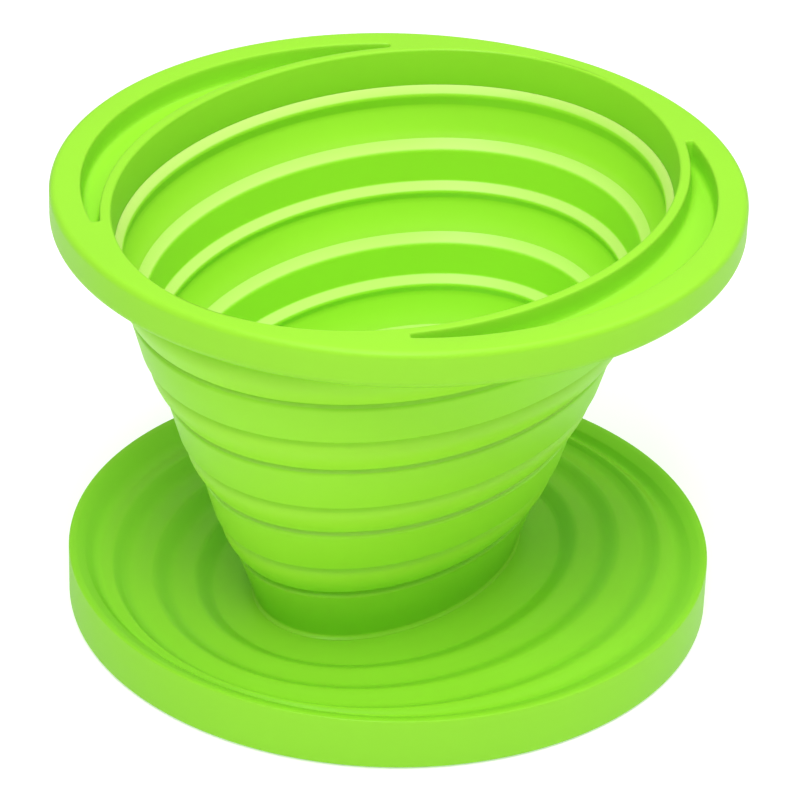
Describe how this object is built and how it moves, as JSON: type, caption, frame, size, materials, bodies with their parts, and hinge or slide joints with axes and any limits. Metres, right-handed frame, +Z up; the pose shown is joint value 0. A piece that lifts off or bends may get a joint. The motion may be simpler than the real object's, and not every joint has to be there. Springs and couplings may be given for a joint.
{
  "type": "collapsible funnel",
  "caption": "Collapsible silicone funnel with an oval folding cone between a round pocketed rim and a round terraced saucer base.",
  "frame": {"origin": "centre of the saucer's underside, on the surface the funnel stands on", "axes": "+Z up along the funnel's axis towards the mouth, +X along the long axis of the oval mouth"},
  "size_m": [0.12, 0.12, 0.0825],
  "materials": {
    "silicone_body_green": "satin",
    "silicone_web_green": "satin",
    "silicone_deep_green": "satin"
  },
  "bodies": {
    "base": {"saucer_base": "silicone_deep_green", "neck_collar": "silicone_deep_green", "fold_web_4": "silicone_web_green"},
    "lower_fold": {"lower_band": "silicone_body_green", "fold_web_3": "silicone_web_green"},
    "middle_fold": {"middle_band": "silicone_body_green", "fold_web_2": "silicone_web_green"},
    "upper_fold": {"upper_band": "silicone_body_green", "fold_web_1": "silicone_web_green"},
    "rim": {"rim_flange": "silicone_body_green", "throat_collar": "silicone_body_green"}
  },
  "joints": [
    {"name": "fold_4", "type": "slide", "parent": "base", "child": "lower_fold", "axis": [0, 0, -1], "range_m": [0, 0.0136], "deforming": ["fold_web_4"]},
    {"name": "fold_3", "type": "slide", "parent": "lower_fold", "child": "middle_fold", "axis": [0, 0, -1], "range_m": [0, 0.0136], "deforming": ["fold_web_3"]},
    {"name": "fold_2", "type": "slide", "parent": "middle_fold", "child": "upper_fold", "axis": [0, 0, -1], "range_m": [0, 0.0136], "deforming": ["fold_web_2"]},
    {"name": "fold_1", "type": "slide", "parent": "upper_fold", "child": "rim", "axis": [0, 0, -1], "range_m": [0, 0.0136], "deforming": ["fold_web_1"]}
  ]
}
